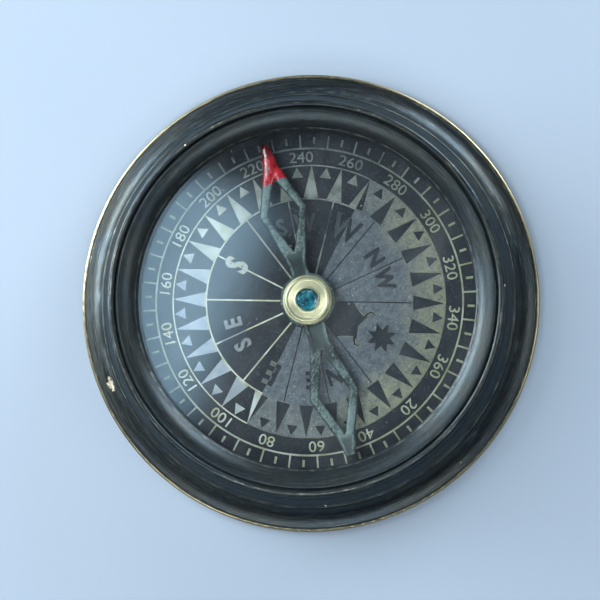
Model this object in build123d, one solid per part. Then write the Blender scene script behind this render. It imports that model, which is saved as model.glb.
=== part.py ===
from build123d import *
import os
from math import cos, radians, sin, tan

# Open-face pocket compass lying on its back. Millimetres. The origin is the centre of the
# resting face, +Z points out through the glass and +Y points to the N of the dial.

# Overall
CASE_R = 38.1            # edge of the base plate, the widest part
HEIGHT = 12.7            # crest of the bezel
PLATE_T = 1.6            # base plate, inside its rim
RIM_Z = 2.2              # top of the base plate's raised rim
FIT = 0.03               # radial clearance of a fixed screw or stud in its hole
RUN = 0.05               # radial and axial clearance of the bezel on its thread
SEAT = 0.02              # gap that lets the glass pack stay put while the bezel turns round it

# Case ring, from the cavity outwards
CAVITY_R = 30.0
NECK_IN_R = 31.5
NECK_R = 32.4
SHOULDER_R = 33.85
CASE_FOOT_R = 37.45
SHOULDER_Z = 6.3
NECK_Z = 8.8

# Bezel and the ring that holds the glass in it
RIDGE_R = 34.1
CREST_R = 31.65
BORE_R = 31.25
GROOVE_R = 30.92         # inner wall of the narrow groove beside the crest
GROOVE_Z = 11.6
GLASS_BORE_R = 30.2
GLASS_SEAT_R = 29.2
SKIRT_Z = 6.5
LIP_R = 27.65
LIP_Z = 10.35
THREAD_Z = 10.3          # lower end of the retaining ring's thread

# Glass and its packing
GLASS_R = 30.1
GLASS_T = 2.0
GASKET_Z = 7.2
GASKET_T = 0.55
WASHER_T = 0.08

# Dial
DIAL_R = 29.5
DIAL_T = 1.0
DIAL_Z = 2.4             # underside of the dial, on the ledge of the case ring
LEDGE_R = 27.4
RING_T = 0.9
RING_GROOVE_R = 30.3
RING_IN_R = 29.0
RING_GAP = 2.6
DOWEL_R = 0.6
DOWEL_COUNT = 2

# Pivot
STUD_R = 2.0
STUD_FLANGE_R = 3.5
STUD_Z = 4.8
PIN_R = 0.5
PIN_TIP_Z = 6.9
PIN_BARE_Z = 5.7         # where the pin's cone begins
SCREW_R = 1.0
SCREW_HEAD_R = 1.9

# Base plate
RECESS_R = 29.0
RECESS_Z = 0.5
PLATE_SCREW_COUNT = 4
PLATE_SCREW_PCR = 32.8   # radius of the screw circle

# Needle
NEEDLE_Z = 5.4
NEEDLE_T = 0.8
NEEDLE_BOSS_R = 4.6
NORTH_TIP = 27.0
SOUTH_TIP = 26.7
HEADING = 227.5          # where the north arm points at rest, degrees clockwise from the dial's N
CAP_R = 4.12
CAP_Z = 7.4
SPIGOT_R = 1.6
SPIGOT_BORE_R = 1.0
COLLAR_R = 3.0
COLLAR_T = 0.4
JEWEL_R = 1.83
JEWEL_SEAT_Z = 6.35
JEWEL_Z = 7.15
JEWEL_CUP_Z = 6.93


def outline(*steps):
    """Face inside a closed run of (x, y) points. A third value is the sagitta of the arc that
    arrives at that point: positive bulges to the left of travel."""
    edges = []
    for here, there in zip(steps, steps[1:] + steps[:1]):
        if len(there) == 3:
            edges.append(SagittaArc(here[:2], there[:2], there[2]))
        else:
            edges.append(Line(here[:2], there[:2]))
    return make_face(edges)


def turned(*steps):
    """Solid of revolution about +Z, from an outline of (radius, height) points."""
    return revolve(Plane.XZ * outline(*steps), Axis.Z, 360)


def disc(radius, low, high):
    return Pos(0, 0, low) * Cylinder(radius, high - low, align=(Align.CENTER, Align.CENTER, Align.MIN))


def washer(inner, outer, low, high):
    return disc(outer, low, high) - disc(inner, low - 1, high + 1)


def cone(r_low, r_high, low, high):
    return Pos(0, 0, low) * Cone(r_low, r_high, high - low, align=(Align.CENTER, Align.CENTER, Align.MIN))


def around(count, radius, start=0.0):
    """Places evenly spaced on a circle, the first at `start` degrees from +X."""
    return [Rot(0, 0, start + 360 * i / count) * Pos(radius, 0, 0) for i in range(count)]


def countersunk_screw(low, high, head_z):
    """Slotted countersunk screw, head down, its flat top just inside the face at `low`."""
    slot_w, slot_d = 0.45, 0.35
    body = disc(SCREW_HEAD_R, low, low + 0.15) + cone(SCREW_HEAD_R, SCREW_R, low + 0.15, head_z)
    body += disc(SCREW_R, head_z, high - 0.3) + cone(SCREW_R, SCREW_R - 0.3, high - 0.3, high)
    slot = Box(3 * SCREW_HEAD_R, slot_w, 2 * slot_d)
    return body - Pos(0, 0, low) * slot


def countersink(low, head_z, high):
    """Tool that cuts the hole for a countersunk screw."""
    head_r = SCREW_HEAD_R + FIT
    hole_r = SCREW_R + FIT
    return disc(head_r, low - 1, low + 0.15) + cone(head_r, hole_r, low + 0.15, head_z) + disc(hole_r, head_z, high)


PLATE_SCREW_Z = (0.1, 4.0, 1.15)     # head face, end, bottom of the head's cone
PIVOT_SCREW_Z = (0.6, 3.4, 1.55)


def plate_screw_places():
    return around(PLATE_SCREW_COUNT, PLATE_SCREW_PCR, 45)


def base_plate():
    edge = 0.45
    plate = turned(
        (0, RECESS_Z), (RECESS_R - 0.6, RECESS_Z), (RECESS_R, 0), (CASE_R - edge, 0),
        (CASE_R, edge, -0.13), (CASE_R, RIM_Z - 0.35), (CASE_R - 0.35, RIM_Z, -0.1),
        (CASE_FOOT_R + FIT, RIM_Z), (CASE_FOOT_R + FIT, PLATE_T), (0, PLATE_T),
    )
    low, high, head_z = PLATE_SCREW_Z
    for place in plate_screw_places():
        plate -= place * countersink(low, head_z, high)
    low, high, head_z = PIVOT_SCREW_Z
    plate -= countersink(low, head_z, high)
    # Two shallow turned grooves round the resting face.
    for groove_r in (12.0, 24.0):
        plate -= washer(groove_r, groove_r + 0.5, RECESS_Z - 1, RECESS_Z + 0.15)
    return plate


def base_plate_screws():
    low, high, head_z = PLATE_SCREW_Z
    screw = countersunk_screw(low, high, head_z)
    turns = (20, 75, 130, 5)
    return Compound([place * Rot(0, 0, turn) * screw for place, turn in zip(plate_screw_places(), turns)])


def dowel_places():
    return around(DOWEL_COUNT, DIAL_R, 0)


def case_ring():
    top_z = DIAL_Z + DIAL_T
    ring_z = top_z + RING_T
    case = turned(
        (LEDGE_R, PLATE_T), (CASE_FOOT_R, PLATE_T), (CASE_FOOT_R, RIM_Z + 0.1),
        (SHOULDER_R, SHOULDER_Z - 0.3, 0.9), (SHOULDER_R, SHOULDER_Z),
        (NECK_R, SHOULDER_Z), (NECK_R, NECK_Z - 0.25), (NECK_R - 0.25, NECK_Z), (NECK_IN_R, NECK_Z),
        (NECK_IN_R, SKIRT_Z - 0.2), (CAVITY_R, SKIRT_Z - 0.2), (CAVITY_R, ring_z),
        (RING_GROOVE_R, ring_z), (RING_GROOVE_R, top_z), (CAVITY_R, top_z),
        (CAVITY_R, DIAL_Z), (LEDGE_R, DIAL_Z),
    )
    low, high, head_z = PLATE_SCREW_Z
    for place in plate_screw_places():
        case -= place * disc(SCREW_R + FIT, low, high + 0.3)
    for place in dowel_places():
        case -= place * disc(DOWEL_R, PLATE_T - 1, DIAL_Z + 1) - disc(CAVITY_R, DIAL_Z, DIAL_Z + 2)
    return case


def bezel_ring():
    neck_gap_in = NECK_IN_R - RUN - 0.05
    neck_gap_out = NECK_R + RUN
    neck_top = NECK_Z + 0.2
    return turned(
        (neck_gap_out, SHOULDER_Z + RUN), (RIDGE_R - 0.12, SHOULDER_Z + RUN),
        (RIDGE_R, SHOULDER_Z + RUN + 0.12, -0.03), (RIDGE_R, SHOULDER_Z + 0.5),
        (RIDGE_R - 0.3, SHOULDER_Z + 0.8, -0.08),
        (CREST_R + 0.7, HEIGHT - 1.1, 0.36), (CREST_R + 0.7, HEIGHT - 0.5, -0.13),
        (CREST_R + 0.1, HEIGHT, -0.13), (CREST_R - 0.1, HEIGHT), (BORE_R, HEIGHT - 0.35, -0.08),
        (BORE_R, THREAD_Z), (GLASS_BORE_R, THREAD_Z),
        (GLASS_BORE_R, GASKET_Z - SEAT), (GLASS_SEAT_R, GASKET_Z - SEAT),
        (GLASS_SEAT_R, SKIRT_Z + 0.2), (GLASS_SEAT_R + 0.2, SKIRT_Z), (neck_gap_in, SKIRT_Z),
        (neck_gap_in, neck_top), (neck_gap_out, neck_top),
    )


def glass_retaining_ring():
    """Threaded ring with a quarter-round face that falls from its groove to the lip on the glass."""
    foot = GASKET_Z + GASKET_T + GLASS_T + WASHER_T + SEAT
    outer = BORE_R - FIT
    return turned(
        (LIP_R + 0.12, foot), (GLASS_BORE_R - FIT, foot), (GLASS_BORE_R - FIT, THREAD_Z), (outer, THREAD_Z),
        (outer, GROOVE_Z), (GROOVE_R, GROOVE_Z),
        (GROOVE_R, HEIGHT - 0.55), (GROOVE_R - 0.2, HEIGHT - 0.38, -0.06),
        (LIP_R + 0.12, LIP_Z, -0.42), (LIP_R, LIP_Z - 0.15, -0.03), (LIP_R, foot + 0.1),
    )


def glass():
    low = GASKET_Z + GASKET_T
    edge = 0.2
    return turned(
        (0, low), (GLASS_R - edge, low), (GLASS_R, low + edge), (GLASS_R, low + GLASS_T - edge),
        (GLASS_R - edge, low + GLASS_T), (0, low + GLASS_T),
    )


def glass_gasket():
    return washer(GLASS_SEAT_R - 0.1, GLASS_R - 0.1, GASKET_Z, GASKET_Z + GASKET_T)


def glass_slip_washer():
    low = GASKET_Z + GASKET_T + GLASS_T
    return washer(LIP_R + 0.6, GLASS_R - 0.3, low, low + WASHER_T)


def dial_plate():
    dial = disc(DIAL_R, DIAL_Z, DIAL_Z + DIAL_T) - disc(STUD_R + FIT, DIAL_Z - 1, DIAL_Z + DIAL_T + 1)
    for place in dowel_places():
        dial -= place * disc(DOWEL_R + FIT, DIAL_Z - 1, DIAL_Z + DIAL_T + 1)
    return dial


def dial_locating_pins():
    """Dowels pressed into the case ring; each fills a half-round notch in the dial's edge."""
    low = PLATE_T
    high = DIAL_Z + DIAL_T - 0.1
    whole = disc(DOWEL_R, low, high)
    return Compound([place * whole & disc(CAVITY_R, low, high) for place in dowel_places()])


def dial_clamp_ring():
    """Split spring ring that snaps into a groove in the case ring, over the dial's edge."""
    low = DIAL_Z + DIAL_T
    ring = washer(RING_IN_R, RING_GROOVE_R - FIT, low, low + RING_T - FIT)
    return ring - Pos(0, -DIAL_R, low) * Box(RING_GAP, 8, 4)


def pivot_stud():
    """Turned brass stud: a flange under the dial, a coned head above it, a pin hole and a thread."""
    stud = turned(
        (0, PLATE_T), (STUD_FLANGE_R, PLATE_T), (STUD_FLANGE_R, DIAL_Z), (STUD_R, DIAL_Z),
        (STUD_R, STUD_Z - 0.8), (STUD_R - 0.8, STUD_Z), (0, STUD_Z),
    )
    stud -= disc(SCREW_R + FIT, 0, PIVOT_SCREW_Z[1] + 0.15)
    return stud - disc(PIN_R, STUD_Z - 1.0, STUD_Z + 1)


def pivot_pin():
    return disc(PIN_R, STUD_Z - 1.0, PIN_BARE_Z) + cone(PIN_R, 0.06, PIN_BARE_Z, PIN_TIP_Z)


def pivot_screw():
    return countersunk_screw(*PIVOT_SCREW_Z)


def arm(neck, crotch, elbow, taper, tip, blunt, window):
    """One openwork arm along +Y: half outline, mirrored, less its diamond window. Each argument
    before `tip` is an (x, y) point on the outer edge; `window` is (apex, (x, y), (x, y), apex)."""
    half = [neck, crotch, elbow, taper, (blunt, tip)]
    left = [(-x, y) for x, y in reversed(half)]
    solid = make_face(Polyline(*half, *left, close=True))
    near, side, corner, far = window
    right_side = [Spline((0, near), side, corner), Line(corner, (0, far))]
    opening = make_face([*right_side, *[edge.mirror(Plane.YZ) for edge in right_side]])
    return solid - opening


def needle_frame():
    north = arm((1.45, 3.5), (1.9, 7.8), (4.0, 15.3), (1.25, 23.0), NORTH_TIP, 0.55,
                (8.1, (1.75, 11.9), (3.0, 15.2), 21.2))
    south = arm((1.75, 3.5), (1.75, 7.5), (4.15, 16.2), (1.55, 23.1), SOUTH_TIP, 0.9,
                (8.7, (1.35, 12.0), (2.75, 16.0), 23.0))
    plan = north + Rot(0, 0, 180) * south + Circle(NEEDLE_BOSS_R)
    blade = Pos(0, 0, NEEDLE_Z) * extrude(plan, NEEDLE_T)
    blade -= disc(SPIGOT_R + FIT, NEEDLE_Z - 1, NEEDLE_Z + NEEDLE_T + 1)
    return blade


def needle_cap():
    """Turned brass cap: thin flange, domed shoulder, flat top with the jewel's seat, riveted spigot."""
    under = NEEDLE_Z + NEEDLE_T
    low = NEEDLE_Z - COLLAR_T
    return turned(
        (SPIGOT_BORE_R, low), (SPIGOT_R, low), (SPIGOT_R, under), (CAP_R, under), (CAP_R, under + 0.3),
        (CAP_R - 0.3, under + 0.34), (CAP_R - 0.3, under + 0.6), (CAP_R - 1.1, CAP_Z, -0.18),
        (JEWEL_R + 0.25, CAP_Z), (JEWEL_R, CAP_Z - 0.2), (JEWEL_R, JEWEL_SEAT_Z), (SPIGOT_BORE_R, JEWEL_SEAT_Z),
    )


def cap_jewel():
    """Cup jewel: a clear disc with a conical seat underneath that rides on the pin's point."""
    cup_r = (JEWEL_CUP_Z - JEWEL_SEAT_Z) * tan(radians(45))
    radius = JEWEL_R - FIT
    return turned(
        (cup_r, JEWEL_SEAT_Z), (radius, JEWEL_SEAT_Z), (radius, JEWEL_Z - 0.15),
        (radius - 0.25, JEWEL_Z, -0.05), (0, JEWEL_Z), (0, JEWEL_CUP_Z),
    )


def cap_collar():
    low = NEEDLE_Z - COLLAR_T
    ring = washer(SPIGOT_R + FIT, COLLAR_R, low, NEEDLE_Z)
    return ring


FIXED = [
    base_plate, base_plate_screws, case_ring, bezel_ring, glass_retaining_ring, glass, glass_gasket,
    glass_slip_washer, dial_plate, dial_locating_pins, dial_clamp_ring, pivot_stud, pivot_pin, pivot_screw,
]
ON_NEEDLE = [needle_frame, needle_cap, cap_jewel, cap_collar]

os.makedirs("parts", exist_ok=True)
for make in FIXED:
    export_step(make(), f"parts/{make.__name__}.step")
for make in ON_NEEDLE:
    export_step(Rot(0, 0, -HEADING) * make(), f"parts/{make.__name__}.step")
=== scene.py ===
from collections import Counter, defaultdict
from math import atan, atan2, cos, hypot, pi, radians, sin, sqrt

import bmesh
import bpy
import numpy as np
from mathutils import Matrix, Vector, noise
from mathutils.geometry import delaunay_2d_cdt


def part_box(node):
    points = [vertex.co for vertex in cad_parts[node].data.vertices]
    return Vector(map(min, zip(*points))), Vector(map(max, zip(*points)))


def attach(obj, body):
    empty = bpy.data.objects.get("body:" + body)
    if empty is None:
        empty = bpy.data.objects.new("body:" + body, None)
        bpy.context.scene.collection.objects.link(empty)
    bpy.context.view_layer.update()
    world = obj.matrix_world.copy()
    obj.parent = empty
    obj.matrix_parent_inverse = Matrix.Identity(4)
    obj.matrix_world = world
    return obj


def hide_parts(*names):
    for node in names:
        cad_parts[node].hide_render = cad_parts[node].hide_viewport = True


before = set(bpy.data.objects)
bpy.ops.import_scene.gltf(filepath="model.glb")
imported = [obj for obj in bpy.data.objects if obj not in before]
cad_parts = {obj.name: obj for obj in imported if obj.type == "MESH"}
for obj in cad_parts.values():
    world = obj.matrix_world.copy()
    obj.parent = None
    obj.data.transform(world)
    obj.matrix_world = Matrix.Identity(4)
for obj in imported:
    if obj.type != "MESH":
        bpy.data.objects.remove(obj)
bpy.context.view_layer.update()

MM = 0.001               # shapes below are written in millimetres


def box_mm(node):
    """Lowest and highest corner of a CAD node, in millimetres."""
    low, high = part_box(node)
    return low / MM, high / MM


# ------------------------------------------------------------------ sizes, from the frame
RIM_R = box_mm("base_plate")[1].x
CREST_Z = box_mm("bezel_ring")[1].z
BEZEL_Z = box_mm("bezel_ring")[0].z
RIDGE_R = box_mm("bezel_ring")[1].x
RING_R = box_mm("glass_retaining_ring")[1].x
RING_FOOT_Z = box_mm("glass_retaining_ring")[0].z
RING_TOP_Z = box_mm("glass_retaining_ring")[1].z
SEAT_Z = box_mm("glass_gasket")[0].z
FOOT_R = box_mm("case_ring")[1].x
FOOT_Z, NECK_Z = box_mm("case_ring")[0].z, box_mm("case_ring")[1].z
DIAL_R = box_mm("dial_plate")[1].y
DIAL_LOW, DIAL_TOP = box_mm("dial_plate")[0].z, box_mm("dial_plate")[1].z
NEEDLE_LOW, NEEDLE_TOP = box_mm("needle_frame")[0].z, box_mm("needle_frame")[1].z
CAP_R = box_mm("needle_cap")[1].x
CAP_LOW, CAP_TOP = box_mm("needle_cap")[0].z, box_mm("needle_cap")[1].z
JEWEL_R = box_mm("cap_jewel")[1].x
JEWEL_LOW, JEWEL_TOP = box_mm("cap_jewel")[0].z, box_mm("cap_jewel")[1].z

NECK_R = 32.4
CAVITY_R = 30.0
BORE_R = RING_R + 0.03
HEADING = 227.5          # bearing of the north arm, degrees clockwise from the dial's N
THREAD_PITCH = 0.8
THREAD_ROOT_R = NECK_R - 0.28


# ------------------------------------------------------------------ mesh tools
def mesh_object(name, verts, faces, materials, indices=None, sharp=35.0):
    """Object from points in millimetres. Faces meet smoothly unless they turn more than `sharp` degrees."""
    mesh = bpy.data.meshes.new(name)
    mesh.from_pydata([Vector(v) * MM for v in verts], [], faces)
    for material in materials:
        mesh.materials.append(material)
    if indices is not None:
        mesh.polygons.foreach_set("material_index", indices)
    clean = bmesh.new()
    clean.from_mesh(mesh)
    bmesh.ops.remove_doubles(clean, verts=clean.verts, dist=1e-7)
    bmesh.ops.dissolve_degenerate(clean, edges=clean.edges, dist=1e-7)
    bmesh.ops.recalc_face_normals(clean, faces=clean.faces)
    clean.to_mesh(mesh)
    clean.free()
    mesh.shade_smooth()
    mesh.set_sharp_from_angle(angle=radians(sharp))
    obj = bpy.data.objects.new(name, mesh)
    bpy.context.scene.collection.objects.link(obj)
    return obj


def outline(*steps, step=0.22):
    """Points of a closed outline. A third value is the sagitta of the arc that arrives at a point,
    positive when it bulges to the left of travel."""
    points = []
    for here, there in zip(steps, steps[1:] + steps[:1]):
        points.append(here[:2])
        if len(there) < 3:
            continue
        dx, dy, sagitta = there[0] - here[0], there[1] - here[1], there[2]
        chord = hypot(dx, dy)
        half = 2 * atan(2 * abs(sagitta) / chord)
        radius = chord / 2 / sin(half)
        count = max(3, round(2 * half * radius / step))
        side = 1 if sagitta > 0 else -1
        for i in range(1, count):
            turn = half * (2 * i / count - 1)
            along = 0.5 + radius * sin(turn) / chord
            out = side * radius * (cos(turn) - cos(half)) / chord
            points.append((here[0] + along * dx - out * dy, here[1] + along * dy + out * dx))
    return points


def counterclockwise(loop):
    area = sum(a[0] * b[1] - b[0] * a[1] for a, b in zip(loop, loop[1:] + loop[:1]))
    return loop if area > 0 else loop[::-1]


def turned(name, profile, materials, segments=480):
    """Solid of revolution about Z from an outline of (radius, height) points."""
    verts, faces = [], []
    count = len(profile)
    for s in range(segments):
        a = 2 * pi * s / segments
        verts += [(r * cos(a), r * sin(a), z) for r, z in profile]
    for s in range(segments):
        for p in range(count):
            here, there = s * count, (s + 1) % segments * count
            faces.append((here + p, there + p, there + (p + 1) % count, here + (p + 1) % count))
    return mesh_object(name, verts, faces, materials)


def dent(obj, spots):
    """Pushes the surface in at each (bearing, radius, height, size, depth) spot."""
    mesh = obj.data
    for bearing, r, z, size, depth in spots:
        a = radians(bearing)
        centre = Vector((r * sin(a), r * cos(a), z)) * MM
        for v in mesh.vertices:
            share = 1 - (v.co - centre).length / (size * MM)
            if share > 0:
                v.co -= v.normal * (depth * MM * share * share * (3 - 2 * share))


def helix(name, radius, depth, pitch, low, high, materials, steps=120):
    """Thread ridge round a neck, standing `depth` proud of `radius` and fading out at both ends."""
    verts, faces = [], []
    count = int((high - low) / pitch * steps)
    for i in range(count + 1):
        a = 2 * pi * i / steps
        z = low + pitch * i / steps
        proud = depth * min(1.0, i / 24, (count - i) / 24)
        inner, outer = radius - 0.15, radius + proud
        section = ((inner, -0.4), (inner, 0.4), (outer, 0.08), (outer, -0.08))
        verts += [(r * cos(a), r * sin(a), z + share * pitch) for r, share in section]
    for i in range(count):
        for k in range(4):
            a, b = 4 * i + k, 4 * i + (k + 1) % 4
            faces.append((a, b, b + 4, a + 4))
    faces += [(0, 1, 2, 3), tuple(4 * count + k for k in range(4))]
    return mesh_object(name, verts, faces, materials)


# ------------------------------------------------------------------ material tools
class Shader:
    """A node material, built a node at a time."""

    def __init__(self, name):
        self.material = bpy.data.materials.new(name)
        self.material.use_nodes = True
        self.tree = self.material.node_tree
        self.tree.nodes.clear()
        self.output = self.node("ShaderNodeOutputMaterial")
        self.place = self.node("ShaderNodeTexCoord").outputs["Object"]

    def node(self, kind, *values, **settings):
        made = self.tree.nodes.new(kind)
        for key, value in settings.items():
            setattr(made, key, value)
        for socket, value in zip(made.inputs, values):
            self.feed(socket, value)
        return made

    def feed(self, socket, value):
        if isinstance(value, bpy.types.NodeSocket):
            self.tree.links.new(value, socket)
        elif value is not None:
            socket.default_value = value

    def math(self, operation, *values, clamp=False):
        return self.node("ShaderNodeMath", *values, operation=operation, use_clamp=clamp).outputs[0]

    def vector(self, operation, *values):
        made = self.node("ShaderNodeVectorMath", operation=operation)
        for socket, value in zip(made.inputs, values):
            self.feed(socket, value)
        return made.outputs["Value"] if operation in ("LENGTH", "DISTANCE") else made.outputs["Vector"]

    def scaled(self, vector, factor):
        made = self.node("ShaderNodeVectorMath", vector, operation="SCALE")
        made.inputs["Scale"].default_value = factor
        return made.outputs["Vector"]

    def combine(self, x, y, z):
        return self.node("ShaderNodeCombineXYZ", x, y, z).outputs[0]

    def noise(self, vector, scale, detail=3.0, rough=0.55):
        made = self.node("ShaderNodeTexNoise")
        for key, value in (("Vector", vector), ("Scale", scale), ("Detail", detail), ("Roughness", rough)):
            self.feed(made.inputs[key], value)
        return made.outputs[0]

    def step(self, value, low, high, to_low=0.0, to_high=1.0):
        return self.node("ShaderNodeMapRange", value, low, high, to_low, to_high,
                         interpolation_type="SMOOTHSTEP").outputs[0]

    def mix(self, share, a, b):
        made = self.node("ShaderNodeMix", data_type="RGBA")
        self.feed(made.inputs[0], share)
        self.feed(made.inputs[6], a)
        self.feed(made.inputs[7], b)
        return made.outputs[2]

    def polar(self):
        """Radius and height in millimetres, and the direction from the axis."""
        x, y, z = self.node("ShaderNodeSeparateXYZ", self.place).outputs
        flat = self.combine(x, y, 0.0)
        radius = self.math("MULTIPLY", self.vector("LENGTH", flat), 1 / MM)
        return radius, self.math("MULTIPLY", z, 1 / MM), self.vector("NORMALIZE", flat)

    def towards(self, polar, bearing, spread):
        """1 along a bearing from the axis, fading out `spread` degrees to each side."""
        a = radians(bearing)
        line = self.node("ShaderNodeVectorMath", polar[2], (sin(a), cos(a), 0.0),
                         operation="DOT_PRODUCT").outputs["Value"]
        return self.step(line, cos(radians(spread)), 1.0)

    def streaks(self, polar, length, fineness, detail=3.0):
        """Noise drawn out round the axis, as a lathe tool leaves it."""
        radius, height, direction = polar
        across = self.math("MULTIPLY", self.math("ADD", radius, height), fineness)
        vector = self.vector("ADD", self.scaled(direction, length), self.combine(0.0, 0.0, across))
        return self.noise(vector, 1.0, detail, 0.6)

    def bump(self, height, depth_mm, strength=1.0, normal=None):
        made = self.node("ShaderNodeBump")
        made.inputs["Strength"].default_value = strength
        made.inputs["Distance"].default_value = depth_mm * MM
        self.feed(made.inputs["Height"], height)
        self.feed(made.inputs["Normal"], normal)
        return made.outputs[0]

    def principled(self, colour, metallic, roughness, normal=None, **constants):
        made = self.node("ShaderNodeBsdfPrincipled")
        inputs = {"Base Color": colour, "Metallic": metallic, "Roughness": roughness, "Normal": normal}
        for key, value in inputs.items():
            self.feed(made.inputs[key], value)
        for key, value in constants.items():
            made.inputs[key.replace("_", " ")].default_value = value
        self.feed(self.output.inputs[0], made.outputs[0])
        return self.material


def ring_mask(shader, polar, r, z, width):
    """1 on the circle at radius r and height z, fading to 0 at `width` from it."""
    dr = shader.math("SUBTRACT", polar[0], r)
    dz = shader.math("SUBTRACT", polar[1], z)
    squares = shader.math("ADD", shader.math("MULTIPLY", dr, dr), shader.math("MULTIPLY", dz, dz))
    away = shader.math("SQRT", squares)
    return shader.step(away, 0.0, width, 1.0, 0.0)


def spot_mask(shader, spots):
    """1 inside small ragged nicks at (bearing, radius, height, size) places."""
    ragged = shader.noise(shader.place, 1500.0, 2.0)
    total = None
    for bearing, r, z, size in spots:
        a = radians(bearing)
        centre = Vector((r * sin(a), r * cos(a), z)) * MM
        away = shader.vector("DISTANCE", shader.place, tuple(centre))
        away = shader.math("ADD", shader.math("MULTIPLY", away, 1 / (size * MM)), ragged)
        spot = shader.step(away, 1.1, 1.3, 1.0, 0.0)
        total = spot if total is None else shader.math("MAXIMUM", total, spot)
    return total


# ------------------------------------------------------------------ materials
PATINA_BLUE = (0.024, 0.032, 0.037, 1)
PATINA_OLIVE = (0.029, 0.033, 0.032, 1)
PATINA_PALE = (0.150, 0.180, 0.190, 1)
BRASS = (0.80, 0.66, 0.34, 1)
PALE_BRASS = (0.86, 0.78, 0.55, 1)


def patina(name, worn_and_lit, nicks, metal=PALE_BRASS):
    """Dark turned brass. `worn_and_lit` lists (radius, height, width, strength) circles rubbed back to
    `metal`;
    on the retaining ring's lip such a circle is also a painted highlight.
    """
    s = Shader(name)
    polar = s.polar()
    clouds = s.noise(s.place, 90.0, 4.0)
    fine = s.noise(s.place, 900.0, 3.0)
    streaks = s.streaks(polar, 6.0, 15.0, 4.0)
    hairs = s.streaks(polar, 18.0, 42.0, 2.0)
    colour = s.mix(s.step(clouds, 0.40, 0.62), PATINA_BLUE, PATINA_OLIVE)
    colour = s.mix(s.step(s.math("MULTIPLY", streaks, hairs), 0.22, 0.46, 0.0, 0.50), colour, PATINA_PALE)
    rubbed = None
    for r, z, width, strength in worn_and_lit:
        mask = s.math("MULTIPLY", ring_mask(s, polar, r, z, width), strength)
        rubbed = mask if rubbed is None else s.math("MAXIMUM", rubbed, mask)
    broken = s.math("ADD", s.math("MULTIPLY", streaks, 0.9), s.math("MULTIPLY", fine, 0.5))
    rubbed = s.step(s.math("ADD", rubbed, broken), 0.95, 1.45)
    if nicks:
        rubbed = s.math("MAXIMUM", rubbed, spot_mask(s, nicks))
    colour = s.mix(rubbed, colour, metal)
    metallic = s.step(rubbed, 0.0, 1.0, 0.75, 1.0)
    roughness = s.math("ADD", s.step(streaks, 0.3, 0.7, 0.22, 0.36), s.math("MULTIPLY", fine, 0.10))
    normal = s.bump(s.math("ADD", s.math("MULTIPLY", hairs, 0.6), streaks), 0.02, 0.5)
    normal = s.bump(fine, 0.01, 0.35, normal)
    return s.principled(colour, metallic, roughness, normal,
                        Specular_IOR_Level=0.3, Specular_Tint=(0.55, 0.6, 0.62, 1))


def bright_brass(name, tint=BRASS, fineness=14.0):
    """Turned brass, lightly tarnished, with concentric tool marks."""
    s = Shader(name)
    polar = s.polar()
    rings = s.streaks(polar, 1.5, fineness, 2.0)
    clouds = s.noise(s.place, 500.0, 3.0)
    colour = s.mix(s.step(clouds, 0.40, 0.80, 0.0, 0.5), tint, (0.48, 0.40, 0.22, 1))
    colour = s.mix(s.step(rings, 0.35, 0.7, 0.0, 0.35), colour, PALE_BRASS)
    roughness = s.math("ADD", s.step(rings, 0.2, 0.8, 0.20, 0.34), s.math("MULTIPLY", clouds, 0.12))
    return s.principled(colour, 1.0, roughness, s.bump(rings, 0.015, 0.6))


def dial_dark(name):
    """Blackened floor of the etching: near black, faintly mottled, with a soft gloss."""
    s = Shader(name)
    mottle = s.noise(s.place, 260.0, 5.0)
    grain = s.noise(s.place, 2600.0, 2.0)
    colour = s.mix(s.step(mottle, 0.35, 0.7), (0.012, 0.015, 0.022, 1), (0.028, 0.033, 0.041, 1))
    colour = s.mix(s.step(grain, 0.56, 0.72, 0.0, 0.7), colour, (0.075, 0.080, 0.090, 1))
    roughness = s.math("ADD", s.step(mottle, 0.3, 0.7, 0.40, 0.52), s.math("MULTIPLY", grain, 0.08))
    return s.principled(colour, 0.0, roughness, s.bump(grain, 0.008, 0.5), Specular_IOR_Level=0.35)


# Tones of the letters on the dark half, as (bearing, spread, colour). The dark tone towards 252 is painted
# shade under the bezel's lip; the tones at 128.57, 180 and 90 only set the letters' colour by bearing.
LETTER_TONES = [(252, 55, (0.060, 0.070, 0.082, 1)), (128.57, 24, (0.250, 0.260, 0.295, 1)),
                  (180, 16, (0.480, 0.475, 0.410, 1)), (90, 16, (0.120, 0.122, 0.120, 1))]


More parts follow.
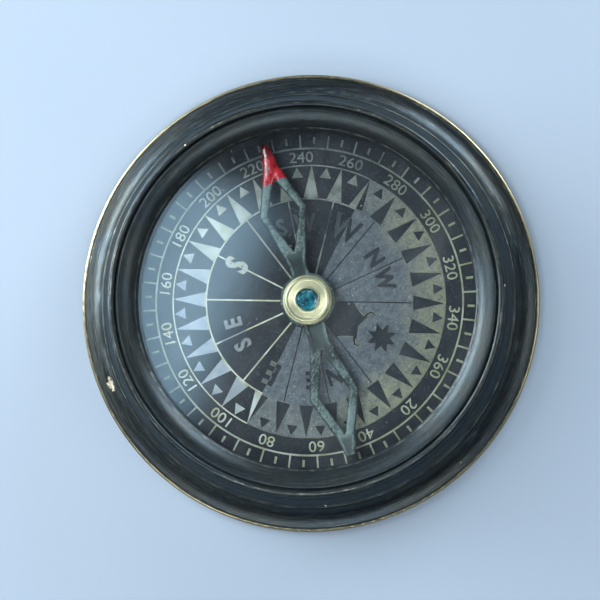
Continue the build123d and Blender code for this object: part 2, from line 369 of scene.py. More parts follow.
def dial_marks(name):
    """Raised brass lines and figures, brushed round the dial and rubbed brighter in places."""
    s = Shader(name)
    polar = s.polar()
    wear = s.noise(s.place, 420.0, 4.0)
    grain = s.noise(s.place, 3000.0, 2.0)
    brushed = s.streaks(polar, 3.0, 30.0, 2.0)
    colour = s.mix(s.step(wear, 0.34, 0.66), (0.60, 0.575, 0.375, 1), (0.78, 0.78, 0.68, 1))
    outer = s.step(polar[0], 22.0, 25.0, 0.86, 1.0)
    # Darker towards bearing 250 and a little more further out: painted shade under the bezel's lip, made
    # patchy by the wear noise.
    lip_shade = s.math("MULTIPLY", s.towards(polar, 250, 75), s.step(wear, 0.25, 0.65, 1.0, 0.75))
    lip_shade = s.math("MULTIPLY", lip_shade, outer)
    colour = s.mix(lip_shade, colour, (0.080, 0.098, 0.118, 1))
    olive = s.math("MULTIPLY", s.towards(polar, 350, 95), s.step(wear, 0.30, 0.60, 0.95, 0.55))
    colour = s.mix(olive, colour, (0.36, 0.37, 0.20, 1))
    # Bluish grey on the teeth towards bearing 136: a painted reflection of a bluish sheen.
    teeth_sheen = s.math("MULTIPLY", s.step(polar[0], 17.2, 17.5), s.step(polar[0], 22.4, 22.6, 1.0, 0.0))
    teeth_sheen = s.math("MULTIPLY", s.towards(polar, 136, 62), teeth_sheen)
    teeth_sheen = s.math("MULTIPLY", teeth_sheen, s.step(wear, 0.3, 0.65, 1.0, 0.7))
    colour = s.mix(teeth_sheen, colour, (0.31, 0.355, 0.46, 1))
    lettered = s.math("MULTIPLY", s.step(polar[0], 11.0, 11.8), s.step(polar[0], 15.4, 16.4, 0.9, 0.0))
    for bearing, spread, tone in LETTER_TONES:
        colour = s.mix(s.math("MULTIPLY", s.towards(polar, bearing, spread), lettered), colour, tone)
    roughness = s.math("ADD", s.step(wear, 0.3, 0.7, 0.34, 0.46), s.math("MULTIPLY", grain, 0.08))
    normal = s.bump(brushed, 0.020, 0.8, s.bump(grain, 0.006, 0.5))
    return s.principled(colour, 0.80, roughness, normal)


def dial_ground(name):
    """Bright half of the dial: slate grey metal with soft brassy patches towards its edge, strongest towards
    bearing 348, brushed round the dial and finely scratched."""
    s = Shader(name)
    polar = s.polar()
    clouds = s.noise(s.place, 190.0, 3.0)
    mottle = s.noise(s.place, 900.0, 4.0, 0.65)
    speck = s.noise(s.place, 2600.0, 3.0, 0.65)
    brushed = s.streaks(polar, 3.0, 30.0, 2.0)
    scratch = s.noise(s.vector("MULTIPLY", s.place, (260.0, 4200.0, 1.0)), 1.0, 2.0)
    outward = s.math("ADD", polar[0], s.step(clouds, 0.3, 0.7, -1.2, 1.2))
    brassy = s.math("MULTIPLY", s.step(outward, 15.0, 21.0), s.step(mottle, 0.34, 0.62, 0.45, 1.0))
    brassy = s.math("MULTIPLY", brassy, s.step(s.towards(polar, 348, 90), 0.1, 0.8, 0.25, 1.0))
    colour = s.mix(s.step(mottle, 0.35, 0.65), (0.124, 0.137, 0.154, 1), (0.190, 0.204, 0.220, 1))
    colour = s.mix(brassy, colour, (0.31, 0.30, 0.205, 1))
    colour = s.mix(s.step(speck, 0.55, 0.70, 0.0, 0.6), colour, (0.060, 0.062, 0.065, 1))
    colour = s.mix(s.step(speck, 0.40, 0.28, 0.0, 0.5), colour, (0.68, 0.68, 0.58, 1))
    colour = s.mix(s.step(scratch, 0.62, 0.74, 0.0, 0.35), colour, (0.50, 0.50, 0.44, 1))
    roughness = s.step(clouds, 0.3, 0.7, 0.38, 0.50)
    normal = s.bump(brushed, 0.014, 0.8, s.bump(s.math("ADD", speck, scratch), 0.008, 0.5))
    return s.principled(colour, 0.75, roughness, normal)


def verdigris(name):
    """Needle metal: blue-green-grey, powdery, paler on its high faces and finely scratched."""
    s = Shader(name)
    clouds = s.noise(s.place, 240.0, 4.0)
    powder = s.noise(s.place, 1800.0, 4.0, 0.7)
    scratch = s.noise(s.vector("MULTIPLY", s.place, (900.0, 3600.0, 300.0)), 1.0, 3.0)
    height = s.math("MULTIPLY", s.node("ShaderNodeSeparateXYZ", s.place).outputs[2], 1 / MM)
    high = s.step(height, NEEDLE_TOP - 0.28, NEEDLE_TOP - 0.02)
    colour = s.mix(s.step(clouds, 0.36, 0.66), (0.018, 0.028, 0.028, 1), (0.062, 0.088, 0.082, 1))
    rubbed = s.math("MULTIPLY", high, s.step(s.math("ADD", powder, clouds), 0.85, 1.25))
    colour = s.mix(rubbed, colour, (0.17, 0.225, 0.215, 1))
    scratched = s.math("MULTIPLY", high, s.step(scratch, 0.58, 0.70, 0.0, 0.5))
    colour = s.mix(scratched, colour, (0.42, 0.50, 0.50, 1))
    roughness = s.step(powder, 0.3, 0.7, 0.40, 0.58)
    normal = s.bump(scratch, 0.012, 0.5, s.bump(powder, 0.02, 0.5))
    return s.principled(colour, 0.35, roughness, normal)


def red_paint(name):
    """Glossy red enamel on the north tip, brushed on, a little thin in places."""
    s = Shader(name)
    brush = s.noise(s.place, 700.0, 3.0)
    thin = s.noise(s.place, 2400.0, 3.0)
    colour = s.mix(s.step(brush, 0.3, 0.7), (0.30, 0.001, 0.004, 1), (0.74, 0.012, 0.026, 1))
    colour = s.mix(s.step(thin, 0.52, 0.68, 0.0, 0.7), colour, (0.16, 0.002, 0.005, 1))
    # Darker towards the tip's end: painted shade where the bezel's lip shades the tip.
    colour = s.mix(s.step(s.polar()[0], 23.6, 26.2, 0.0, 0.92), colour, (0.10, 0.001, 0.004, 1))
    roughness = s.step(brush, 0.3, 0.7, 0.16, 0.28)
    return s.principled(colour, 0.0, roughness, s.bump(brush, 0.16, 1.0),
                        Coat_Weight=1.0, Coat_Roughness=0.08)


def jewel(name):
    """Teal glass with internal clouds."""
    s = Shader(name)
    clouds = s.noise(s.place, 1100.0, 4.0, 0.6)
    colour = s.mix(s.step(clouds, 0.40, 0.62), (0.002, 0.045, 0.080, 1), (0.010, 0.260, 0.320, 1))
    colour = s.mix(s.step(clouds, 0.60, 0.74, 0.0, 0.8), colour, (0.30, 0.74, 0.80, 1))
    return s.principled(colour, 0.0, s.step(clouds, 0.3, 0.7, 0.04, 0.12), s.bump(clouds, 0.02, 0.5),
                        Transmission_Weight=0.25, IOR=1.6)


def crystal(name):
    """Flat compass glass: clear, mirrors more at a slant, with a trace of dust and wiped smears."""
    s = Shader(name)
    smear = s.noise(s.vector("MULTIPLY", s.place, (60.0, 180.0, 60.0)), 1.0, 3.0)
    dust = s.step(s.noise(s.place, 1300.0, 2.0), 0.72, 0.80, 0.0, 0.25)
    haze = s.math("ADD", s.step(smear, 0.45, 0.8, 0.0, 0.02), dust)
    clear = s.node("ShaderNodeBsdfTransparent", (0.95, 0.975, 0.98, 1)).outputs[0]
    film = s.node("ShaderNodeBsdfDiffuse", (0.75, 0.78, 0.80, 1)).outputs[0]
    mirror = s.node("ShaderNodeBsdfAnisotropic", (1, 1, 1, 1), 0.03).outputs[0]
    body = s.node("ShaderNodeMixShader", haze, clear, film).outputs[0]
    slant = s.math("POWER", s.node("ShaderNodeLayerWeight", 0.5).outputs["Facing"], 5.0)
    gloss = s.step(slant, 0.0, 1.0, 0.04, 1.0)
    s.feed(s.output.inputs[0], s.node("ShaderNodeMixShader", gloss, body, mirror).outputs[0])
    return s.material


def plain_metal(name, dark, light, roughness):
    """Small steel parts: ground, with fine scratches."""
    s = Shader(name)
    scratch = s.noise(s.vector("MULTIPLY", s.place, (900.0, 900.0, 6000.0)), 1.0, 3.0)
    colour = s.mix(s.step(scratch, 0.3, 0.7), dark, light)
    return s.principled(colour, 0.9, s.step(scratch, 0.3, 0.7, roughness - 0.06, roughness + 0.08),
                        s.bump(scratch, 0.01, 0.4))


def soft_black(name, dark, light, roughness):
    """Rubber and fibre packing: matt, slightly uneven."""
    s = Shader(name)
    grain = s.noise(s.place, 2500.0, 4.0)
    colour = s.mix(s.step(grain, 0.3, 0.7), dark, light)
    return s.principled(colour, 0.0, s.step(grain, 0.3, 0.7, roughness - 0.08, roughness),
                        s.bump(grain, 0.02, 0.5))


# ------------------------------------------------------------------ dial artwork, in millimetres
# Bearings run clockwise from +Y, seen from above. A shape is a list of loops filled by even-odd.
POINTS = 28
DISC_R = 17.1
SCALE_R = 22.65
TICK_R = 25.5


def at(radius, bearing):
    a = radians(bearing)
    return radius * sin(a), radius * cos(a)


def circle(radius, count=180):
    return [at(radius, -360 * i / count) for i in range(count)]


def ring(radius, width):
    return [circle(radius + width / 2), circle(radius - width / 2)]


def band(radius, width, start, end):
    """Part of a ring, between two bearings."""
    bearings = range(start, end + 2, 2)
    inner, outer = radius - width / 2, radius + width / 2
    return [[at(outer, b) for b in bearings] + [at(inner, b) for b in reversed(bearings)]]


def bar(inner, outer, bearing, width):
    """Straight line along a bearing."""
    (ox, oy), (tx, ty) = at(1, bearing), at(width / 2, bearing + 90)
    return [[(inner * ox + tx, inner * oy + ty), (outer * ox + tx, outer * oy + ty),
             (outer * ox - tx, outer * oy - ty), (inner * ox - tx, inner * oy - ty)]]


def wedge(base, apex, bearing, half_angle):
    """Triangle with its base on one radius and its point on another."""
    return [[at(base, bearing - half_angle), at(apex, bearing), at(base, bearing + half_angle)]]


def stroke(points, width):
    """Curved stroke through points, pointed at its far end."""
    left, right = [], []
    for i, (x, y) in enumerate(points):
        nx, ny = points[min(i + 1, len(points) - 1)]
        px, py = points[max(i - 1, 0)]
        length = hypot(nx - px, ny - py)
        w = width / 2 * (1 - 0.8 * i / (len(points) - 1))
        ox, oy = -(ny - py) / length * w, (nx - px) / length * w
        left.append((x + ox, y + oy))
        right.append((x - ox, y - oy))
    return [left + right[::-1]]


def glyph_loops(text, weight):
    """Outlines of a line of text in the built-in font, centred on 0, 0, in units of the font size."""
    curve = bpy.data.curves.new("glyphs", "FONT")
    curve.body, curve.align_x, curve.offset, curve.resolution_u = text, "CENTER", weight, 3
    holder = bpy.data.objects.new("glyphs", curve)
    mesh = bpy.data.meshes.new_from_object(holder)
    uses = Counter(key for face in mesh.polygons for key in face.edge_keys)
    ways = defaultdict(list)
    for face in mesh.polygons:
        for a, b in zip(face.vertices, list(face.vertices[1:]) + [face.vertices[0]]):
            if uses[min(a, b), max(a, b)] == 1:
                ways[a].append(b)
    loops = []
    while ways:
        here = next(iter(ways))
        loop = []
        while here in ways:
            loop.append(tuple(mesh.vertices[here].co[:2]))
            following = ways[here].pop()
            if not ways[here]:
                del ways[here]
            here = following
        loops.append(loop)
    bpy.data.objects.remove(holder)
    bpy.data.curves.remove(curve)
    middle = (max(y for loop in loops for _, y in loop) + min(y for loop in loops for _, y in loop)) / 2
    return [[(x, y - middle) for x, y in loop] for loop in loops]


CAP_HEIGHT = 0.73        # height of a capital or digit in the built-in font, of its size


def lettering(text, height, radius, bearing, narrow, weight=0.0):
    """Text with its top outward, centred on a point of the dial."""
    size = height / CAP_HEIGHT
    (ox, oy), (tx, ty) = at(1, bearing), at(1, bearing + 90)

    def placed(u, v):
        up, along = radius + v * size, u * size * narrow
        return ox * up + tx * along, oy * up + ty * along

    return [[placed(u, v) for u, v in loop] for loop in glyph_loops(text, weight)]


def star(radius, bearing, tips, outer, inner):
    cx, cy = at(radius, bearing)
    loop = []
    for i in range(2 * tips):
        x, y = at(inner if i % 2 else outer, 180 * i / tips)
        loop.append((cx + x, cy + y))
    return [loop]


def urn():
    """Flared ornament at the north, with a curl at each upper corner."""
    side = [(1.85, 9.85), (2.0, 9.2), (2.35, 8.3), (2.8, 7.4), (3.25, 6.7), (1.25, 2.6)]
    shapes = [[[(-x, y) for x, y in reversed(side)] + [(0.0, 9.3)] + side]]
    for hand in (-1, 1):
        curl = [(1.6, 9.5), (2.4, 9.6), (3.0, 10.05), (3.0, 10.6), (2.6, 10.75), (2.35, 10.5)]
        shapes.append(stroke([(hand * x, y) for x, y in curl], 0.75))
    return shapes


# Letter pairs, as (bearing, letters, weight).
LETTER_PAIRS = [(53.0, "NE", 0.05), (128.57, "SE", 0.03), (231.43, "SW", 0.03), (308.57, "NW", 0.05)]


def artwork():
    """Every mark on the dial, each with the width of the bevel round it where it is cut into the
    bright half."""
    fine, lettered, broad = 0.02, 0.07, 0.12
    circles = (band(DISC_R, 0.22, 90, 270), band(SCALE_R, 0.2, 90, 270), ring(TICK_R, 0.28))
    marks = [(shape, fine) for shape in circles]
    for i in range(1, POINTS // 2):
        bearing = i * 720 / POINTS
        if bearing not in (90, 270):
            marks.append((bar(3.0, DISC_R, bearing, 0.24 if 90 < bearing < 270 else 0.2), fine))
    for i in range(POINTS):
        marks.append((wedge(DISC_R + 0.2, SCALE_R, i * 360 / POINTS, 4.1), broad))
        marks.append((wedge(20.7, 22.4, (i + 0.5) * 360 / POINTS, 2.6), broad))
    for degrees in range(5, 365, 5):
        inner, outer, width = (TICK_R, 27.7, 0.28) if degrees % 10 == 0 else (26.25, 27.4, 0.38)
        marks.append((bar(inner, outer, degrees, width), fine))
    for degrees in range(20, 380, 20):
        marks.append((lettering(str(degrees), 1.85, 24.05, degrees, 1.1), fine))
    for bearing, letter in ((90, "E"), (180, "S"), (270, "W")):
        marks.append((lettering(letter, 3.9, 13.5, bearing, 0.82, 0.028), lettered))
    for bearing, pair, weight in LETTER_PAIRS:
        for side, letter in zip((-8.6, 8.6), pair):
            marks.append((lettering(letter, 2.85, 13.1, bearing + side, 0.85, weight), lettered))
    marks.append((star(13.5, 0, 8, 2.6, 1.4), broad))
    return marks + [(shape, broad) for shape in urn()]


def dial_face(dark, marks_finish, ground):
    """Dial plate with its etching cut in relief. Marks are dark on the bright northern half and
    bright on the dark rest."""
    relief, hole_r, mark_slope, border_slope = 0.08, 2.03, 0.02, 0.07
    north = [[(-SCALE_R, 0.0)] + [at(SCALE_R, b) for b in range(-88, 90, 2)] + [(SCALE_R, 0.0)]]
    drawn = artwork()
    shapes = [[circle(DIAL_R), circle(hole_r)], north] + [shape for shape, _ in drawn]
    slopes = [border_slope, border_slope] + [slope for _, slope in drawn]
    coords, loops, owner = [], [], []
    for shape, shape_loops in enumerate(shapes):
        for loop in shape_loops:
            loops.append(list(range(len(coords), len(coords) + len(loop))))
            coords += counterclockwise(loop)
            owner.append(shape)
    corners = [Vector(p) for p in coords]
    points, _, faces, _, _, sources = delaunay_2d_cdt(corners, [], loops, 0, 1e-5, True)

    kinds, bevels = [], []
    for ids in sources:
        inside = {shape for shape, n in Counter(owner[i] for i in ids).items() if n % 2}
        cut = inside - {0, 1}
        if 0 not in inside:
            kinds.append(None)
        elif (1 in inside) == bool(cut):
            kinds.append("dark")
        else:
            kinds.append("ground" if 1 in inside else "mark")
        bevels.append(min((slopes[shape] for shape in cut), default=border_slope))

    side_of, bevel_of = {}, {}
    for face, kind, bevel in zip(faces, kinds, bevels):
        if kind:
            for edge in zip(face, list(face[1:]) + [face[0]]):
                side_of[edge], bevel_of[edge] = kind, bevel
    push = defaultdict(lambda: Vector((0.0, 0.0)))
    for (a, b), kind in side_of.items():
        if kind != "dark" and side_of.get((b, a)) == "dark":
            away = Vector((points[b].y - points[a].y, points[a].x - points[b].x)).normalized()
            away *= bevel_of[b, a] if kind == "ground" else mark_slope
            push[a] += away
            push[b] += away

    verts, index_of = [], {}

    def vertex(point, level):
        if (point, level) not in index_of:
            where = points[point].copy()
            if level == "floor":
                where += push[point] / 2
            height = {"top": DIAL_TOP, "floor": DIAL_TOP - relief, "base": DIAL_LOW}[level]
            index_of[point, level] = len(verts)
            verts.append((where.x, where.y, height))
        return index_of[point, level]

    finishes = {"dark": 0, "mark": 1, "ground": 2}
    out_faces, out_kinds = [], []
    for face, kind in zip(faces, kinds):
        if kind:
            out_faces.append([vertex(p, "floor" if kind == "dark" else "top") for p in face])
            out_kinds.append(finishes[kind])
    for (a, b), kind in side_of.items():
        level = "floor" if kind == "dark" else "top"
        other = side_of.get((b, a))
        if other is None:
            out_faces.append([vertex(b, level), vertex(a, level), vertex(a, "base"), vertex(b, "base")])
            out_kinds.append(finishes["mark"])
        elif kind != "dark" and other == "dark":
            out_faces.append([vertex(b, "top"), vertex(a, "top"), vertex(a, "floor"), vertex(b, "floor")])
            out_kinds.append(finishes["mark"])
    rims = [[i for i, v in enumerate(verts) if v[2] == DIAL_LOW and (hypot(v[0], v[1]) > 10) == outer]
            for outer in (True, False)]
    outer_rim, inner_rim = [sorted(rim, key=lambda i: atan2(verts[i][1], verts[i][0])) for rim in rims]
    count = len(outer_rim)
    for i in range(count):
        j = (i + 1) % count
        out_faces.append([outer_rim[j], outer_rim[i], inner_rim[i], inner_rim[j]])
        out_kinds.append(finishes["mark"])
    return mesh_object("dial_face", verts, out_faces, [dark, marks_finish, ground], out_kinds, 20)


# ------------------------------------------------------------------ needle
def mirrored(side):
    """Closed loop from the points of its right-hand side, bottom to top."""
    return side + [(-x, y) for x, y in reversed(side) if x > 1e-6]


def densified(loop, step, wander):
    """The loop with a point every `step`, its line wandering a little as a hand-filed edge does."""
    points = []
    for (ax, ay), (bx, by) in zip(loop, loop[1:] + loop[:1]):
        count = max(1, round(hypot(bx - ax, by - ay) / step))
        points += [(ax + (bx - ax) * i / count, ay + (by - ay) * i / count) for i in range(count)]

    def moved(x, y):
        across, along = [wander * noise.noise(Vector((x, y, layer)) * 1.1) for layer in (0, 7)]
        return x + across, y + along

    return [moved(x, y) for x, y in points]


def needle_loops():
    """Outline, windows and hub hole, with the north arm along +Y."""
    boss_r, hole_r = 4.6, 1.63
    north = [(1.5, 5.2), (1.55, 6.2), (1.9, 7.8), (3.05, 12.0), (4.0, 15.3), (3.0, 18.1), (1.25, 23.0),
             (0.75, 25.9), (0.45, 26.8), (0.0, 27.0)]
    south = [(1.75, 5.2), (1.72, 6.3), (1.78, 7.5), (2.95, 12.0), (4.15, 16.2), (3.0, 19.4), (1.55, 23.1),
             (0.95, 26.2), (0.75, 26.65), (0.0, 26.7)]
    join_n, join_s = atan(1.5 / 4.35), atan(1.75 / 4.25)
    boss = [(boss_r * sin(a), boss_r * cos(a)) for a in np.linspace(join_n, pi - join_s, 24)]
    right = [(x, -y) for x, y in reversed(south)] + boss[::-1] + north
    window_n = [(0.0, 8.4), (0.6, 9.8), (1.5, 11.9), (2.2, 13.8), (2.7, 15.1), (0.0, 20.8)]
    window_s = [(0.0, 8.9), (0.45, 10.1), (1.2, 12.0), (1.95, 14.2), (2.6, 16.0), (0.0, 22.8)]
    south_window = [(x, -y) for x, y in mirrored(window_s)]
    return [mirrored(right), mirrored(window_n), south_window, circle(hole_r, 40)]


def distance_to(edge, points):
    """How far each point is from the nearest point of the edge."""
    parts = np.array_split(points, 12)
    return np.concatenate([np.sqrt(((part[:, None] - edge[None]) ** 2).sum(2)).min(1) for part in parts])


def ramp(x):
    return min(max(x, 0.0), 1.0)


def needle_blade(steel, paint):
    """Openwork blade. Its edges are rounded, its strips stand up as ridges and its necks sink between
    them, and the steel is slightly pitted."""
    step = 0.2
    loops = [densified(loop, step, 0.12) for loop in needle_loops()]
    edge = np.array([p for loop in loops for p in loop])
    grid = []
    for row, y in enumerate(np.arange(-27.0, 27.2, step * 0.87)):
        grid += [(x + step / 2 * (row % 2), y) for x in np.arange(-4.8, 4.8, step)]
    grid = np.array(grid)
    grid = grid[distance_to(edge, grid) > 0.55 * step]
    coords, faces_in = [], []
    for loop in loops:
        faces_in.append(list(range(len(coords), len(coords) + len(loop))))
        coords += counterclockwise(loop)
    coords += [tuple(p) for p in grid]
    corners = [Vector(p) for p in coords]
    points, _, faces, _, _, sources = delaunay_2d_cdt(corners, [], faces_in, 0, 1e-5, True)
    faces = [face for face, ids in zip(faces, sources) if len(ids) % 2]
    flat = np.array([tuple(p) for p in points])
    depth = distance_to(edge, flat)

    middle = (NEEDLE_LOW + NEEDLE_TOP) / 2
    half = (NEEDLE_TOP - NEEDLE_LOW) / 2
    turn = Matrix.Rotation(-radians(HEADING), 4, "Z")
    paint_from = 20.6
    verts, index_of = [], {}

    def vertex(point, side):
        x, y = flat[point]
        d = depth[point]
        if d < 1e-3:
            side = 0
        if (point, side) not in index_of:
            round_w = 0.2
            if side > 0:
                round_w = 0.32 + 0.28 * ramp((abs(y) - 8.5) / 3) + 0.6 * ramp(y - paint_from)
            rise = sqrt(1 - (1 - min(d / round_w, 1.0)) ** 2)
            if side > 0 and hypot(x, y) > 4.3:
                sunk = max(ramp(8.8 - abs(y)), ramp(-y - 22.9))
                rise *= 1 - 0.7 * sunk * ramp((d - 0.42) / 0.22)
                pit = noise.noise(Vector((x, y, 0)) * 1.7) + 0.6 * noise.noise(Vector((x, y, 5)) * 4.5)
                rise -= 0.12 * max(0.0, pit)
            z = middle + side * half * rise
            index_of[point, side] = len(verts)
            verts.append(tuple(turn @ Vector((x, y, z))))
        return index_of[point, side]

    out_faces, kinds = [], []
    for face in faces:
        cx, cy = flat[face].mean(0)
        border = paint_from + 0.35 * noise.noise(Vector((cx, cy, 9)) * 1.6) - 0.45 * (cx < 0)
        painted = int(cy > border)
        out_faces.append([vertex(p, 1) for p in face])
        out_faces.append([vertex(p, -1) for p in reversed(face)])
        kinds += [painted, painted]
    return mesh_object("needle_blade", verts, out_faces, [steel, paint], kinds, 50)


# ------------------------------------------------------------------ turned parts
def case_profile():
    rim_z = box_mm("base_plate")[1].z + 0.1
    shoulder_r, shoulder_z = RIDGE_R - 0.25, BEZEL_Z - 0.05
    ledge_r, ledge_z = 27.4, DIAL_LOW
    groove_r, groove_top = 30.3, DIAL_TOP + 0.9
    neck_in = 31.5
    return outline(
        (ledge_r, FOOT_Z), (FOOT_R, FOOT_Z), (FOOT_R, rim_z - 0.08), (FOOT_R - 0.1, rim_z, -0.02),
        (shoulder_r, shoulder_z - 0.3, 0.9), (shoulder_r, shoulder_z - 0.05), (shoulder_r - 0.05, shoulder_z),
        (THREAD_ROOT_R, shoulder_z), (THREAD_ROOT_R, NECK_Z - 0.2), (NECK_R - 0.45, NECK_Z),
        (neck_in, NECK_Z), (neck_in, shoulder_z), (CAVITY_R, shoulder_z),
        (CAVITY_R, groove_top), (groove_r, groove_top),
        (groove_r, DIAL_TOP),
        (CAVITY_R, DIAL_TOP), (CAVITY_R, ledge_z), (ledge_r, ledge_z),
    )


def bezel_profile():
    gap_in, gap_out, gap_top = 31.4, NECK_R + 0.05, NECK_Z + 0.2
    seat_r, seat_z, glass_bore = 29.2, SEAT_Z - 0.02, 30.2
    skirt_z, thread_z = BEZEL_Z + 0.15, RING_FOOT_Z + 0.45
    crest_r = 31.65
    return outline(
        (gap_out, BEZEL_Z), (RIDGE_R - 0.12, BEZEL_Z),
        (RIDGE_R, BEZEL_Z + 0.12, -0.03), (RIDGE_R, BEZEL_Z + 0.42),
        (RIDGE_R - 0.3, BEZEL_Z + 0.72, -0.08), (crest_r + 0.7, CREST_Z - 1.1, 0.36),
        (crest_r + 0.7, CREST_Z - 0.5, -0.13), (crest_r + 0.1, CREST_Z, -0.13), (crest_r - 0.1, CREST_Z),
        (BORE_R, CREST_Z - 0.35, -0.08), (BORE_R, thread_z), (glass_bore, thread_z), (glass_bore, seat_z),
        (seat_r, seat_z), (seat_r, skirt_z + 0.2), (seat_r + 0.2, skirt_z), (gap_in, skirt_z),
        (gap_in, gap_top), (gap_out, gap_top),
    )


def retaining_profile():
    thread_z, groove_z, lip_z = RING_FOOT_Z + 0.45, RING_TOP_Z - 0.72, RING_FOOT_Z + 0.5
    lip_r, glass_bore, groove_r = 27.65, 30.17, 30.92
    return outline(
        (lip_r + 0.12, RING_FOOT_Z), (glass_bore, RING_FOOT_Z), (glass_bore, thread_z), (RING_R, thread_z),
        (RING_R, groove_z), (groove_r, groove_z), (groove_r, RING_TOP_Z - 0.17),
        (groove_r - 0.2, RING_TOP_Z, -0.06), (lip_r + 0.12, lip_z, -0.46), (lip_r, lip_z - 0.15, -0.03),
        (lip_r, RING_FOOT_Z + 0.1),
    )


def cap_profile():
    under = NEEDLE_TOP
    spigot_r, bore_r, seat_z = 1.6, 1.0, JEWEL_LOW
    grooves = []
    for r in (3.1, 2.9, 2.7, 2.5, 2.3):
        grooves += [(r, CAP_TOP), (r - 0.04, CAP_TOP - 0.025), (r - 0.08, CAP_TOP)]
    return outline(
        (bore_r, CAP_LOW), (spigot_r, CAP_LOW), (spigot_r, under),
        (CAP_R - 0.06, under), (CAP_R, under + 0.06),
        (CAP_R, under + 0.24, -0.02), (CAP_R - 0.08, under + 0.32), (CAP_R - 0.34, under + 0.34),
        (CAP_R - 0.38, CAP_TOP - 0.26), (CAP_R - 0.66, CAP_TOP, -0.08), *grooves,
        (JEWEL_R + 0.12, CAP_TOP), (JEWEL_R + 0.03, CAP_TOP - 0.12),
        (JEWEL_R + 0.03, seat_z), (bore_r, seat_z),
        step=0.08,
    )


def jewel_profile():
    """Hollowed underneath for the pin, and very slightly dished on top."""
    cup_z = JEWEL_TOP - 0.35
    return outline(
        (cup_z - JEWEL_LOW, JEWEL_LOW), (JEWEL_R, JEWEL_LOW), (JEWEL_R, JEWEL_TOP - 0.04),
        (JEWEL_R - 0.1, JEWEL_TOP, -0.02), (JEWEL_R - 0.75, JEWEL_TOP - 0.2, 0.07),
        (0.0, JEWEL_TOP - 0.2), (0.0, cup_z),
        step=0.08,
    )


def ride(obj, body, slot, *nodes):
    """Piece that moves with a body and stands for CAD nodes."""
    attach(obj, body)
    if nodes:
        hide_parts(*nodes)
    return obj


# ------------------------------------------------------------------ build
# Nicks, as (bearing, radius, height, size): bare brass where the patina is knocked off.
CASE_NICKS = [(129.5, 36.0, 3.2, 0.85), (130.9, 36.05, 3.15, 1.1), (132.2, 36.0, 3.2, 0.8),
              (292, 35.6, 3.7, 0.4), (20, 36.6, 2.7, 0.3)]
BEZEL_NICKS = [(205, 31.72, CREST_Z, 0.22), (58, RIDGE_R - 0.3, BEZEL_Z + 0.5, 0.35),
               (330, 32.3, CREST_Z - 0.5, 0.3)]

dark_patina = patina("patina_case", [(RIM_R, 2.0, 0.9, 1.0), (FOOT_R, 2.3, 0.5, 0.2)], CASE_NICKS)
rim_patina = patina("patina_rim", [(RIM_R, 2.0, 0.85, 1.0), (RIM_R, 0.3, 0.8, 0.5)], [],
                    (0.42, 0.36, 0.21, 1))
bezel_patina = patina("patina_bezel", [(31.72, CREST_Z, 0.42, 0.25), (31.3, CREST_Z - 0.3, 0.2, 0.3),
                                       (32.3, CREST_Z - 0.75, 0.3, 0.2), (RIDGE_R, BEZEL_Z + 0.4, 0.4, 0.55)],
                      BEZEL_NICKS)
# On the retaining ring the circle at 28.1 mm on the lip is rubbed metal and also a painted highlight, in a
# pale bluish grey.
ring_patina = patina("patina_ring", [(30.8, RING_TOP_Z, 0.3, 0.2), (28.1, RING_FOOT_Z + 0.72, 0.65, 0.44)],
                     [], (0.46, 0.52, 0.52, 1))
brass = bright_brass("brass_turned")
cap_brass = bright_brass("brass_cap", (0.72, 0.65, 0.40, 1), 20.0)
dull_brass = bright_brass("brass_dull", (0.40, 0.31, 0.15, 1), 8.0)
steel = plain_metal("steel_pin", (0.42, 0.42, 0.43, 1), (0.62, 0.62, 0.63, 1), 0.28)
black_steel = plain_metal("steel_blackened", (0.018, 0.018, 0.020, 1), (0.045, 0.045, 0.048, 1), 0.42)
rubber = soft_black("rubber_gasket", (0.010, 0.010, 0.010, 1), (0.025, 0.025, 0.024, 1), 0.80)
fibre = soft_black("fibre_washer", (0.06, 0.06, 0.06, 1), (0.13, 0.13, 0.12, 1), 0.70)

case = turned("case_turned", case_profile(), [dark_patina])
dent(case, [(b, r, z, size * 1.2, 0.12) for b, r, z, size in CASE_NICKS])
ride(case, "root", "case_brass", "case_ring")
ride(helix("case_thread", THREAD_ROOT_R, 0.26, THREAD_PITCH, BEZEL_Z + 0.35, NECK_Z - 0.55, [dull_brass]),
     "root", "case_brass")
bezel = turned("bezel_turned", bezel_profile(), [bezel_patina])
dent(bezel, [(b, r, z, size * 1.2, 0.08) for b, r, z, size in BEZEL_NICKS])
ride(bezel, "bezel", "bezel_brass", "bezel_ring")
ride(turned("retaining_ring_turned", retaining_profile(), [ring_patina]),
     "bezel", "bezel_brass", "glass_retaining_ring")
ride(dial_face(dial_dark("dial_blackened"), dial_marks("dial_brass_marks"), dial_ground("dial_silvered")),
     "root", "dial_brass", "dial_plate")
ride(needle_blade(verdigris("needle_verdigris"), red_paint("needle_red")),
     "needle", "needle_steel", "needle_frame")
ride(turned("cap_turned", cap_profile(), [cap_brass], 200), "needle", "bright_brass", "needle_cap")
ride(turned("jewel_cut", jewel_profile(), [jewel("jewel_teal")], 120), "needle", "jewel_glass", "cap_jewel")

FINISHES = {
    "base_plate": rim_patina, "base_plate_screws": dull_brass, "pivot_screw": dull_brass,
    "pivot_stud": brass, "cap_collar": brass, "dial_locating_pins": brass, "pivot_pin": steel,
    "dial_clamp_ring": black_steel, "glass": crystal("glass_flat"), "glass_gasket": rubber,
    "glass_slip_washer": fibre,
}
for node, material in FINISHES.items():
    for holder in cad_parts[node].material_slots:
        holder.material = material

# ------------------------------------------------------------------ stage, camera and light
TILT = 5.95              # camera's angle from the compass's axis
LEAN = 16.4              # bearing the camera leans towards
DISTANCE = 400.0
SHOWN = 99.75            # width of the view at the compass, mm
ROLL = 116.9             # how far clockwise from the picture's top the dial's north shows

picture_up = Vector((*at(1, -ROLL), 0))
picture_right = Vector((*at(1, 90 - ROLL), 0))


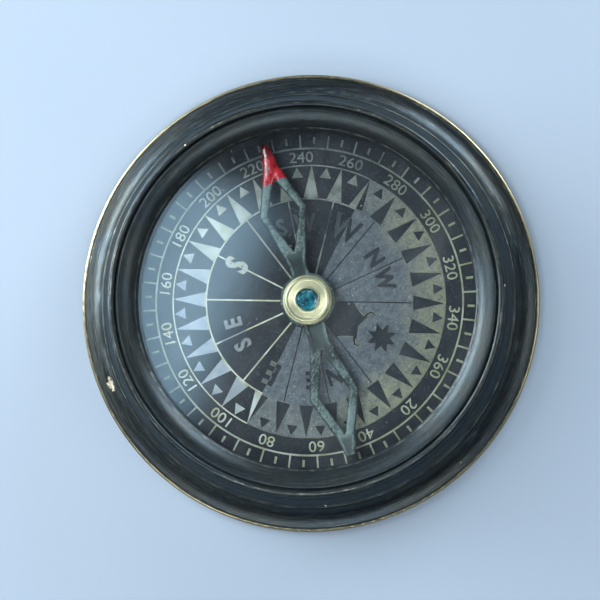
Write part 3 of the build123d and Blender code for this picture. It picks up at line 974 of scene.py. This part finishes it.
def studio(right, up, height):
    """Place given in the picture's directions and height above the floor, mm."""
    return (picture_right * right + picture_up * up + Vector((0, 0, height))) * MM


def aim(obj, target, up=Vector((0, 0, 1))):
    """Turns an object's -Z towards the target, with its +Y as near `up` as it can be."""
    back = (obj.location - target).normalized()
    side = up.cross(back).normalized()
    obj.rotation_euler = Matrix((side, back.cross(side), back)).transposed().to_euler()


def add_camera():
    data = bpy.data.cameras.new("camera")
    data.sensor_width = 36.0
    data.lens = data.sensor_width * DISTANCE / SHOWN
    data.clip_start = 0.01
    camera = bpy.data.objects.new("camera", data)
    target = studio(-1.58, 0.31, 2.0)
    towards = Vector((*at(sin(radians(TILT)), LEAN), cos(radians(TILT))))
    camera.location = target + towards * DISTANCE * MM
    aim(camera, target, picture_up)
    bpy.context.scene.collection.objects.link(camera)
    bpy.context.scene.camera = camera


def add_softbox(name, where, target, size, power, tint, fade=0.0):
    """Rectangular light. `fade` is the share of its size over which each edge dies out."""
    data = bpy.data.lights.new(name, "AREA")
    data.shape, data.size, data.size_y = "RECTANGLE", size[0] * MM, size[1] * MM
    data.energy, data.color = power, tint
    light = bpy.data.objects.new(name, data)
    light.location = studio(*where)
    aim(light, studio(*target), Vector((0, 0.01, 1)))
    bpy.context.scene.collection.objects.link(light)
    if not fade:
        return
    data.use_nodes = True
    nodes, links = data.node_tree.nodes, data.node_tree.links
    middle = nodes.new("ShaderNodeVectorMath")
    middle.operation = "SUBTRACT"
    middle.inputs[1].default_value = (0.5, 0.5, 0.0)
    split = nodes.new("ShaderNodeSeparateXYZ")
    links.new(nodes.new("ShaderNodeNewGeometry").outputs["Parametric"], middle.inputs[0])
    links.new(middle.outputs[0], split.inputs[0])
    strength = nodes.new("ShaderNodeMath")
    strength.operation = "MULTIPLY"
    for axis in (0, 1):
        away = nodes.new("ShaderNodeMath")
        away.operation = "ABSOLUTE"
        falloff = nodes.new("ShaderNodeMapRange")
        falloff.interpolation_type = "SMOOTHSTEP"
        for socket, value in zip(falloff.inputs[1:5], (0.5 - fade, 0.5, 1.0, 0.0)):
            socket.default_value = value
        links.new(split.outputs[axis], away.inputs[0])
        links.new(away.outputs[0], falloff.inputs[0])
        links.new(falloff.outputs[0], strength.inputs[axis])
    links.new(strength.outputs[0], nodes["Emission"].inputs["Strength"])


def add_floor():
    s = Shader("floor_pale")
    tone = s.noise(s.place, 6.0, 3.0)
    colour = s.mix(s.step(tone, 0.3, 0.7), (0.300, 0.370, 0.455, 1), (0.330, 0.400, 0.490, 1))
    material = s.principled(colour, 0.0, 0.6)
    size = 3000.0
    verts = [(-size, -size, 0), (size, -size, 0), (size, size, 0), (-size, size, 0)]
    mesh_object("floor", verts, [(0, 1, 2, 3)], [material])


def add_world():
    """Bluish room light, dimmer straight overhead and on the side away from the window."""
    world = bpy.data.worlds.new("studio")
    world.use_nodes = True
    nodes, links = world.node_tree.nodes, world.node_tree.links
    direction = nodes.new("ShaderNodeTexCoord").outputs["Generated"]
    strength = nodes.new("ShaderNodeMath")
    strength.operation = "MULTIPLY"
    dark_side = picture_right * 0.87 - picture_up * 0.5
    spans = ((Vector((0, 0, 1)), (0.60, 0.97, 0.24, 0.10)), (dark_side, (-0.1, 0.75, 1.0, 0.3)))
    for socket, (axis, span) in zip(strength.inputs, spans):
        along = nodes.new("ShaderNodeVectorMath")
        along.operation = "DOT_PRODUCT"
        along.inputs[1].default_value = axis
        falloff = nodes.new("ShaderNodeMapRange")
        falloff.interpolation_type = "SMOOTHSTEP"
        for limit, value in zip(falloff.inputs[1:5], span):
            limit.default_value = value
        links.new(direction, along.inputs[0])
        links.new(along.outputs["Value"], falloff.inputs[0])
        links.new(falloff.outputs[0], socket)
    links.new(strength.outputs[0], nodes["Background"].inputs[1])
    nodes["Background"].inputs[0].default_value = (0.80, 0.92, 1.06, 1)
    bpy.context.scene.world = world


add_floor()
add_world()
add_camera()
centre = (0, 0, 5)
add_softbox("key", (-330, 140, 360), centre, (340, 440), 1.9, (0.95, 0.99, 1.0))
add_softbox("low", (-430, 160, 80), centre, (360, 150), 4.3, (0.86, 0.95, 1.0))
add_softbox("side", (260, 330, 100), centre, (240, 180), 2.0, (0.86, 0.94, 1.0))
add_softbox("front", (-20, -270, 430), centre, (460, 160), 1.4, (0.90, 0.96, 1.0))
add_softbox("glint", (-210, 60, 330), centre, (50, 50), 0.15, (0.95, 0.98, 1.0))
add_softbox("fill", (300, -10, 350), centre, (120, 200), 0.40, (0.88, 0.95, 1.0))
add_softbox("sheen", (-118, 51, 520), centre, (112, 136), 0.20, (0.48, 0.77, 1.0), fade=0.2)

bpy.context.scene.view_settings.view_transform = "Standard"
